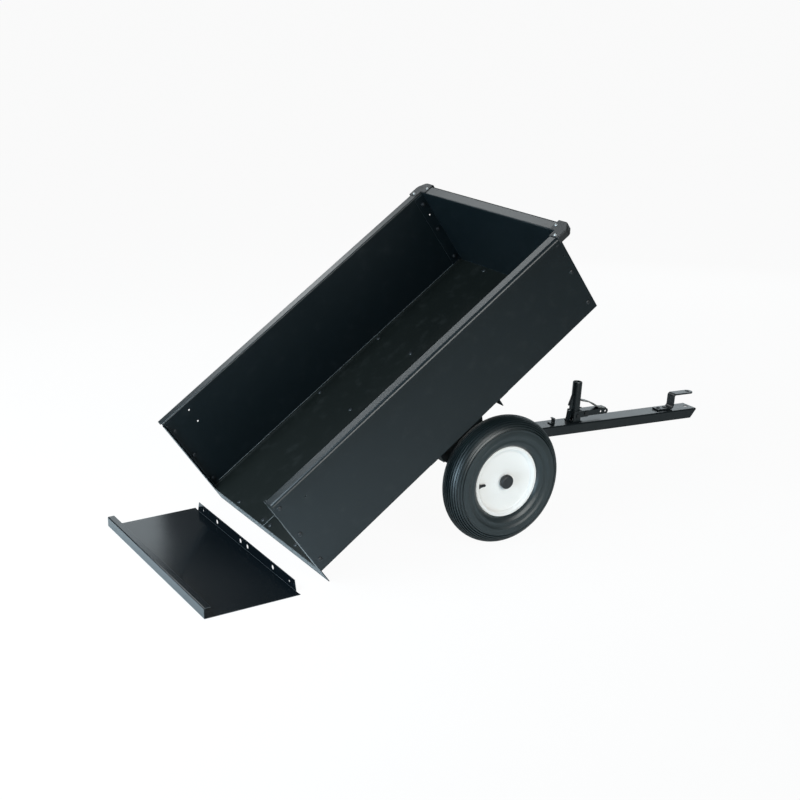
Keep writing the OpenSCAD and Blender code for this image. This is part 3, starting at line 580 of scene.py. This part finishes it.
# %% Hitch strap
strap_foot, strap_bend, strap_wall, strap_half, hitch_rise = 172.0, 101.0, 6.0, 18.0, 58.0
strap_roll, nose_roll, heel_roll = 11.0, 17.5, 5.0
strap_line = [(tongue_end - strap_foot, -strap_half, tongue_top + strap_wall),
              (tongue_end - strap_bend, -strap_half, tongue_top + strap_wall),
              (tongue_end - strap_bend, -strap_half, tongue_top + hitch_rise),
              (tongue_end, -strap_half, tongue_top + hitch_rise)]
bm = rounded_wire(strap_line, [strap_roll, strap_roll], 6)
pull(bm, bm.edges[:], (0, 2 * strap_half, 0))
round_corners(bm, [v for v in bm.verts if near_to(v.co.x, tongue_end)], nose_roll, 8)
round_corners(bm, [v for v in bm.verts if near_to(v.co.x, tongue_end - strap_foot)], heel_roll, 4)
thicken(bm, strap_wall, (tongue_end - 40, 0, tongue_top + hitch_rise), (0, 0, 1))
holes = [((tongue_end - hitch_back, 0, tongue_top + hitch_rise), (0, 0, 1), hitch_r, 20.0)]
make_piece(bm, "hitch_bar", in_tongue, ["hitch_strap"], edge=0.8, holes=holes)

# %% [markdown]
# The tailgate is a shallow tray: a plate with its top edge turned up and back into a ledge, and its
# bottom edge turned up into a low flange with clearance holes. The flange is shorter than the plate,
# with cut corners, so the plate's front edge is split before its middle is pulled up.

# %% Tailgate
gate_half, gate_height, gate_edge, gate_lip = 378.0, 306.0, 34.0, 22.0
gate_inset, gate_chamfer, gate_bend = 25.0, 10.0, 3.5
gate_holes = [(y, 7.0) for y in (-200, -25, 25, 200)] + [(309, 3.5), (-309, 3.5)]
gate_line = [(gate_lip - gate_height, -gate_half, gate_edge), (-gate_height, -gate_half, gate_edge),
             (-gate_height, -gate_half, 0), (0, -gate_half, 0)]
bm = rounded_wire(gate_line, [gate_bend, gate_bend], 5)
pull(bm, bm.edges[:], (0, 2 * gate_half, 0))
for side in (1, -1):
    cut_through(bm, (0, side * (gate_half - gate_inset), 0), (0, 1, 0))
front = edges_where(bm, lambda c: near_to(c.x, 0) and abs(c.y) < gate_half - gate_inset + 0.1)
top = pull(bm, front, (0, 0, gate_edge))
bmesh.ops.scale(bm, vec=(1, 1 - gate_chamfer / (gate_half - gate_inset), 1), verts=top)
thicken(bm, sheet, (-150, 0, 0), (0, 0, -1))
holes = [((-1, y, gate_edge / 2), (1, 0, 0), radius, 6.0) for y, radius in gate_holes]
make_piece(bm, "tailgate_tray", on_ground, ["tailgate"], holes=holes, finish="gate_enamel")

# %% [markdown]
# A tyre is a section spun round the axle. The section is nearly a circle: narrow grooves at even angles
# cut the tread and shoulders into ribs, a small step ends the tread, and the sidewall sinks a little
# before the ring that guards the rim. The same spin makes rims, caps and valves.


# %% Turned pieces
def turned(profile, steps=72, closed=False, axis=(0, 1, 0)):
    """A bmesh spun from points (radius, place along the axis)."""
    bm = bmesh.new()
    line = [bm.verts.new((r, a, 0)) for r, a in profile]
    edges = [bm.edges.new(pair) for pair in zip(line, line[1:])]
    if closed:
        edges.append(bm.edges.new((line[-1], line[0])))
    bmesh.ops.spin(bm, geom=line + edges, cent=(0, 0, 0), axis=(0, 1, 0), angle=2 * math.pi, steps=steps,
                   use_merge=True)
    bmesh.ops.remove_doubles(bm, verts=bm.verts[:], dist=0.005)
    bmesh.ops.recalc_face_normals(bm, faces=bm.faces[:])
    turn = Vector((0, 1, 0)).rotation_difference(Vector(axis)).to_matrix()
    bmesh.ops.rotate(bm, cent=(0, 0, 0), matrix=turn, verts=bm.verts[:])
    return bm


tyre_half, tyre_wall, bead_r = 52.5, 9.0, 101.8
groove_angles = [4.5, 13.5, 22.5, 31.5, 40.5, 49.5, 58.5, 67.5]
groove_half, groove_depth = 2.3, 4.2
side_steps = [(71, 0.0), (75, -1.2), (92, -1.0), (101, -3.6), (109, -3.6), (116, 0.2), (130, 0.5),
              (140, -0.6)]
bead_flank, inner_flank = [(114.5, 29.5), (bead_r, 28.6), (bead_r, 18.0)], 120
tread_end, foot_angle = 76.0, 140.0


def tyre_lift(angle):
    """How far the tyre's skin stands off its round section, by the angle from the crest."""
    turn = abs(angle)
    if any(abs(turn - groove) < groove_half for groove in groove_angles):
        return -groove_depth
    for (start, low), (end, high) in zip(side_steps, side_steps[1:]):
        if start <= turn <= end:
            return low + (high - low) * (turn - start) / (end - start)
    return 0.0


def on_section(reach, angle):
    """A point of the tyre's section, by its reach from the middle and the angle from the crest."""
    turn = math.radians(angle)
    return wheel_r - tyre_half + reach * math.cos(turn), reach * math.sin(turn)


def tyre_profile():
    section = []
    angle = -foot_angle
    while angle < foot_angle + 0.01:
        section.append(on_section(tyre_half + tyre_lift(angle), angle))
        angle += 1.0 if abs(angle) < tread_end else 2.0
    section += bead_flank
    section += [on_section(tyre_half - tyre_wall, a) for a in range(inner_flank, -inner_flank - 1, -12)]
    return section + [(r, -across) for r, across in reversed(bead_flank)]


for hand, side in sides.items():
    bm = turned(tyre_profile(), 112, closed=True)
    make_piece(bm, "tyre_cover_" + hand, on_wheel(side), ["tyre_" + hand], edge=0)

# %% [markdown]
# The rim is a rolled channel with a dished disc welded inside it and a hub tube through the middle.
# The channel and the disc are open sections, spun and then thickened, and the hub is a closed ring.

# %% Rims
half_channel = [(114, 29.4), (112.6, 31.6), (107.5, 31.6), (103.5, 28.5), (101.4, 26), (100.8, 14), (94, 8)]
channel = half_channel + [(r, -across) for r, across in reversed(half_channel)]
disc = [(100.5, 26.5), (98, 24.4), (94, 22.8), (86, 21.6), (74, 20.8), (60, 20.4), (42, 20.8), (33, 22),
        (26, 22.9), (18, 23)]
hub = [(13.1, -38), (18, -38), (18, 22.9), (13.1, 22.9)]
channel_wall, disc_wall = 2.4, 2.6
for hand, side in sides.items():
    bm = turned(channel, 96)
    thicken(bm, channel_wall, (101, 20, 0), (1, 0, 0))
    dish = thicken(turned(disc, 96), disc_wall, (70, 18, 0), (0, 1, 0))
    for extra in (dish, turned(hub, 96, closed=True)):
        mesh = bpy.data.meshes.new("rim part")
        extra.to_mesh(mesh)
        extra.free()
        bm.from_mesh(mesh)
        bpy.data.meshes.remove(mesh)
    make_piece(bm, "rim_pressing_" + hand, on_wheel(side), ["rim_" + hand], edge=0.5)

# %% [markdown]
# The axle's end wears a pressed plastic cap with a rounded shoulder. The valve leans out of the dish:
# a rubber stem that is thicker at its root, and a small ribbed cap.

# %% Axle caps and valves
cap_profile = [(0, 412.0), (19.5, 412.0), (20.2, 410.6), (22.0, 410.6), (22.5, 411.4), (22.5, 418.6),
               (21.9, 421.0), (20.0, 423.2), (17.0, 424.5), (13.0, 425.0), (11.5, 424.4), (10.0, 424.2),
               (0, 424.2)]
stem_profile = [(0, 84.6), (4.0, 84.6), (4.6, 86), (5.0, 91), (6.0, 94), (7.2, 97), (7.6, 100), (0, 100)]
valve_cap_profile = [(0, 75.6), (3.4, 75.6), (4.3, 76.4), (4.7, 77.6), (4.7, 79), (4.3, 79.4), (4.3, 80.4),
                     (4.7, 80.8), (4.7, 82), (4.3, 82.4), (4.3, 83.4), (4.7, 83.8), (4.7, 84.6), (0, 84.6)]
valve_out = 25.0
for hand, side in sides.items():
    bm = turned(cap_profile, 48)
    make_piece(bm, "axle_end_" + hand, mirrored(on_axle, side), ["axle_cap_" + hand], edge=0)
    lean = on_wheel(side) @ Matrix.Translation((0, valve_out, 0))
    bm = turned(stem_profile, 24, axis=(-1, 0, 0))
    make_piece(bm, "valve_root_" + hand, lean, ["valve_stem_" + hand], edge=0)
    bm = turned(valve_cap_profile, 24, axis=(-1, 0, 0))
    make_piece(bm, "valve_top_" + hand, lean, ["valve_cap_" + hand], edge=0)

# %% [markdown]
# The latch handle is a length of tube with a plug pressed into its top, a little below the rim. It is
# turned like the wheel parts, upright on the tongue.

# %% Latch handle
handle_x = 594.0
grip_profile = [(0, 12), (16.4, 12), (17, 12.8), (17, 141), (16.6, 143.4), (15.6, 145), (14.2, 145),
                (13.6, 144), (13.4, 141.5), (12.6, 140.8), (8, 141.4), (0, 141.6)]
bm = turned(grip_profile, 48, axis=(0, 0, 1))
on_latch = in_tongue @ Matrix.Translation((handle_x, 0, tongue_top))
make_piece(bm, "latch_grip", on_latch, ["latch_handle"], edge=0)

# %% [markdown]
# The leaf spring is a thin strip of steel: its foot is riveted to the spring bar, and it bows up and
# back to lean on the handle. When the handle tilts, the strip bends between tongue and handle, so it
# rides on neither body: its place is baked into its mesh.

# %% Leaf spring
leaf_foot_x, leaf_start_x, leaf_level, leaf_tip_x, leaf_tip_z = 727.0, 702.0, 54.0, 612.5, 91.5
leaf_half, leaf_bow_x, leaf_bow_z, leaf_bend, leaf_wall = 14.0, 656.0, 81.5, 16.0, 4.2
leaf_line = [(leaf_foot_x, -leaf_half, leaf_level), (leaf_start_x, -leaf_half, leaf_level),
             (leaf_bow_x, -leaf_half, leaf_bow_z), (leaf_tip_x, -leaf_half, leaf_tip_z)]
bm = rounded_wire(leaf_line, [leaf_bend, leaf_bend], 7)
pull(bm, bm.edges[:], (0, 2 * leaf_half, 0))
thicken(bm, leaf_wall, (715, 0, leaf_level), (0, 0, 1))
leaf = make_piece(bm, "leaf_strip", in_tongue, ["leaf_spring"], edge=0.3)
leaf.parent = None
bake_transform(leaf)

# %% [markdown]
# Bolts come in sets. One bolt is turned as a head and a shank, one nut is a six-sided cone with its
# corners taken off, and each set is that shape copied to every place the CAD drilled.


# %% Sets of bolts and nuts
def bolt_shape(head_r, head_h, shank_r, grip, tail):
    """A round-headed bolt that stands on z = 0."""
    dome = [(0, 1), (0.35, 0.97), (0.62, 0.82), (0.84, 0.55), (0.97, 0.22), (1, 0)]
    end, ease = -grip - tail, 0.6
    profile = [(head_r * out, head_h * up) for out, up in dome]
    profile += [(shank_r, 0), (shank_r, end + ease), (shank_r - ease, end), (0, end)]
    return turned(profile, 20, axis=(0, 0, 1))


def nut_shape(radius, height, grip):
    bm = bmesh.new()
    bmesh.ops.create_cone(bm, cap_ends=True, segments=6, radius1=radius, radius2=radius, depth=height,
                          matrix=Matrix.Translation((0, 0, -grip - height / 2)))
    bmesh.ops.bevel(bm, geom=bm.edges[:], offset=0.6, offset_type="OFFSET", segments=2, profile=0.5,
                    affect="EDGES", material=-1)
    return bm


def set_of(shapes_and_places):
    """One bmesh with each shape copied to its place."""
    whole = bmesh.new()
    for shape, place in shapes_and_places:
        shape.transform(place)
        if place.determinant() < 0:
            bmesh.ops.reverse_faces(shape, faces=shape.faces[:])
        mesh = bpy.data.meshes.new("copy")
        shape.to_mesh(mesh)
        shape.free()
        whole.from_mesh(mesh)
        bpy.data.meshes.remove(mesh)
    return whole


def at(x, y, z):
    return Matrix.Translation((x, y, z))


bolt_r, head_r, head_h, nut_r, nut_h, thread_end = 4.0, 8.0, 3.2, 7.5, 6.5, 2.0
floor_places = [(x, s * y, 6.5) for x in (492, 777) for y in (150, 365) for s in (-1, 1)]
floor_places += [(16, s * y, 5.0) for y in (25, 200) for s in (-1, 1)]
floor_places += [(bed_length - 16, s * y, grip) for y, grip in ((25, 7.0), (218, 4.0)) for s in (-1, 1)]
side_places = [(20.5, bed_height * share) for share in (0.1, 0.47, 0.84)]
side_places += [(bed_length - 19, bed_height * share) for share in (0.1, 0.51, 0.87)]
outwards = Matrix.Rotation(-math.pi / 2, 4, "X")
side_spots = [Matrix.Diagonal((1, s, 1, 1)) @ at(x, bed_half + sheet, z) @ outwards
              for s in (1, -1) for x, z in side_places]
strap_spots = [at(x, 0, tongue_top + strap_wall) for x in (993, 1022)]
stand_plate, stand_row = 3.0, 12.0
stand_spots = [at(handle_x + s * stand_row, 0, tongue_top + stand_plate) for s in (-1, 1)]
bolt_sets = [
    ("floor", in_bed, [(at(x, y, 0), grip) for x, y, grip in floor_places]),
    ("side", in_bed, [(spot, 4.0) for spot in side_spots]),
    ("strap", in_tongue, [(spot, 9.0) for spot in strap_spots]),
    ("stand", in_tongue, [(spot, 6.0) for spot in stand_spots]),
]
for name, place, spots in bolt_sets:
    bm = set_of([(bolt_shape(head_r, head_h, bolt_r, grip, nut_h + thread_end), spot)
                 for spot, grip in spots])
    make_piece(bm, name + "_bolt_set", place, [name + "_bolts"], edge=0, finish="black_bolt")
    bm = set_of([(nut_shape(nut_r, nut_h, grip), spot) for spot, grip in spots])
    make_piece(bm, name + "_nut_set", place, [name + "_nuts"], edge=0, finish="black_bolt")

# %% [markdown]
# The corner caps keep their screws bright. They are small self-tapping screws with a low round head,
# so the bolt shape serves again at a smaller size.

# %% Bright screws of the corner caps
screw_spots = [(1190.8, 402.0), (1228.0, 364.8)]
screw_head_r, screw_head_h, screw_r, screw_length = 5.5, 2.6, 2.5, 12.0
bm = set_of([(bolt_shape(screw_head_r, screw_head_h, screw_r, 0, screw_length),
              Matrix.Diagonal((1, s, 1, 1)) @ at(x, y, cap_top)) for s in (1, -1) for x, y in screw_spots])
make_piece(bm, "cap_screw_set", in_bed, ["cap_screws"], edge=0, finish="bright_screw")

# %% [markdown]
# What is left is the running gear and the latch's plates: the axle, its supports, spacers, braces,
# guides and stands. Their solids already have the right shape, with edges too sharp for cut and rolled
# steel. A merged copy of each solid, with its flat faces joined again, takes the same narrow bevel.


# %% Eased copies of the plain steel parts
def eased_copy(node, edge):
    bm = bmesh.new()
    bm.from_mesh(frame["nodes"][node].data)
    bmesh.ops.remove_doubles(bm, verts=bm.verts[:], dist=0.00001)
    bmesh.ops.dissolve_limit(bm, angle_limit=math.radians(0.6), verts=bm.verts[:], edges=bm.edges[:])
    make_piece(bm, node + "_eased", Matrix.Identity(4), [node], edge=edge)


eased_nodes = {
    0.5: ["tailgate_guide_left", "tailgate_guide_right", "cross_brace_front", "cross_brace_rear",
          "tongue_spacers", "wheel_spacers", "axle_washers", "cotter_pins", "spring_rivets",
          "wheel_bushes_left", "wheel_bushes_right"],
    0.8: ["axle_support_left", "axle_support_right", "axle", "tip_stop_rod", "front_stand", "strike_pin",
          "rest_tab", "latch_stand", "latch_pivot_bolt", "spring_bar", "bar_bolt", "latch_hook"],
}
for edge, names in eased_nodes.items():
    for node in names:
        eased_copy(node, edge)

# %% [markdown]
# The cart stands on a white backdrop in a dim room. To the camera, floor and surround are plain
# white, and the cart keeps a faint shadow. Black gloss paint is a mirror, though: in an all white room
# it would turn grey. So gloss sees only a small share of the white, and the floor's matte colour goes
# from pale to grey towards the camera: painted shade standing for the dim room, seen in gloss and in
# bounced light, which gives the near panel its soft fall of light.

# %% Floor and white surround
floor_reach, floor_white, gloss_share = 70.0, 0.95, 0.06


def white_share(tint):
    """How much of the white backdrop a ray sees: all of it from the camera, some in gloss."""
    kinds = ("Camera", "Transmission", "Glossy")
    seen, through, gloss = (tint.add("LightPath", out=f"Is {kind} Ray") for kind in kinds)
    return seen + through + gloss * gloss_share


bm = bmesh.new()
bmesh.ops.create_grid(bm, x_segments=1, y_segments=1, size=floor_reach)
mesh = bpy.data.meshes.new("studio_floor")
bm.to_mesh(mesh)
bm.free()
floor = bpy.data.objects.new("studio_floor", mesh)
bpy.context.scene.collection.objects.link(floor)
pale = bpy.data.materials.new("studio_floor")
pale.use_nodes = True
tint = Tint(pale.node_tree)
pale.node_tree.nodes.clear()
coords = tint.add("TexCoord", out=3)
across = tint.add("SeparateXYZ", {}, {0: coords}, out=1)
# Painted shade: the floor's matte colour turns grey towards the camera, so gloss and bounce see a dim room there.
painted_floor_shade = tint.blend(across.over(-2.4, -0.6), (0.15, 0.2, 0.205), (0.86, 0.9, 0.91))
matte = tint.add("BsdfDiffuse", {}, {"Color": painted_floor_shade})
glow = tint.add("Emission", {}, {"Color": (1, 1, 1, 1), "Strength": 1.0})
surface = tint.add("MixShader", {}, {0: white_share(tint) * floor_white, 1: matte, 2: glow})
tint.add("OutputMaterial", {}, {"Surface": surface})
mesh.materials.append(pale)

world = bpy.data.worlds.new("white_surround")
bpy.context.scene.world = world
world.use_nodes = True
world.node_tree.nodes.clear()
tint = Tint(world.node_tree)
dim = tint.add("Background", {}, {"Color": (0.74, 0.91, 1.0, 1), "Strength": 0.075})
bright = tint.add("Background", {}, {"Color": (0.955, 0.955, 0.955, 1), "Strength": 1.0})
surround = tint.add("MixShader", {}, {0: white_share(tint), 1: dim, 2: bright})
tint.add("OutputWorld", {}, {"Surface": surround})
print("floor and surround made")

# %% [markdown]
# The lights are large and soft. Those on the far side are placed where the rails, the front ledge and
# the tailgate mirror them, the near one lights the wheel and the floor before it, and a low cool one
# runs along the ribs of the tyre. The camera doesn't see the lamps themselves.


# %% Soft lights
def soft_light(name, place, target, size, watts, colour):
    data = bpy.data.lights.new(name, "AREA")
    data.shape = "RECTANGLE"
    data.size, data.size_y = size
    data.energy = watts
    data.color = colour
    lamp = bpy.data.objects.new(name, data)
    bpy.context.scene.collection.objects.link(lamp)
    lamp.location = place
    lamp.rotation_euler = (Vector(target) - Vector(place)).to_track_quat("-Z", "Y").to_euler()
    lamp.visible_camera = False


soft_light("far side", (-0.6, 2.6, 1.95), (-0.3, 0, 0.5), (1.2, 0.6), 11, (0.95, 0.99, 1.0))
soft_light("high far side", (0.05, 2.6, 3.2), (-0.1, 0, 0.6), (1.5, 1.3), 18, (0.95, 0.99, 1.0))
soft_light("low far side", (-0.5, 2.6, 1.0), (-0.9, 0.2, 0), (0.9, 0.5), 1.8, (0.85, 0.95, 1.0))
soft_light("far right", (3.0, 2.2, 1.0), (0.9, 0, 0.2), (1.8, 1.1), 11, (0.85, 0.95, 1.0))
soft_light("near side", (0, -4.2, 2.0), (0, 0, 0.3), (2.6, 1.8), 121, (0.98, 1.0, 0.975))
soft_light("floor at the rear", (-2.6, 0.2, 2.0), (-1.3, 0, 0), (1.6, 1.6), 105, (0.74, 0.9, 1.0))
soft_light("low left", (-2.8, -1.3, 0.5), (0, -0.45, 0.2), (1.1, 1.5), 50, (0.62, 0.84, 1.0))

# %% [markdown]
# The camera stands to the rear and right of the cart, a little above it. Its place and lens were worked
# out from the bed's corners, the wheel and the tongue in the photograph.

# %% Camera
yaw, pitch, roll = (math.radians(a) for a in (58.313, -18.336, -0.584))
focal_pixels, picture_pixels, sensor = 1413.3, 800, 36.0
look = Vector((math.cos(pitch) * math.cos(yaw), math.cos(pitch) * math.sin(yaw), math.sin(pitch)))
right = Vector((math.sin(yaw), -math.cos(yaw), 0))
down = look.cross(right)
image_x = math.cos(roll) * right + math.sin(roll) * down
image_y = math.sin(roll) * right - math.cos(roll) * down
lens = bpy.data.cameras.new("camera")
lens.sensor_width = sensor
lens.lens = focal_pixels * sensor / picture_pixels
camera = bpy.data.objects.new("camera", lens)
bpy.context.scene.collection.objects.link(camera)
turn = Matrix((image_x, image_y, -look)).transposed().to_4x4()
stand = Vector((-2.4502, -3.7448, 1.8398)) + Vector((axle_at.x, 0, 0))
camera.matrix_world = Matrix.Translation(stand) @ turn
bpy.context.scene.camera = camera
bpy.context.scene.view_settings.view_transform = "Standard"
print("camera at", tuple(round(c, 3) for c in stand), "lens", round(lens.lens, 2))
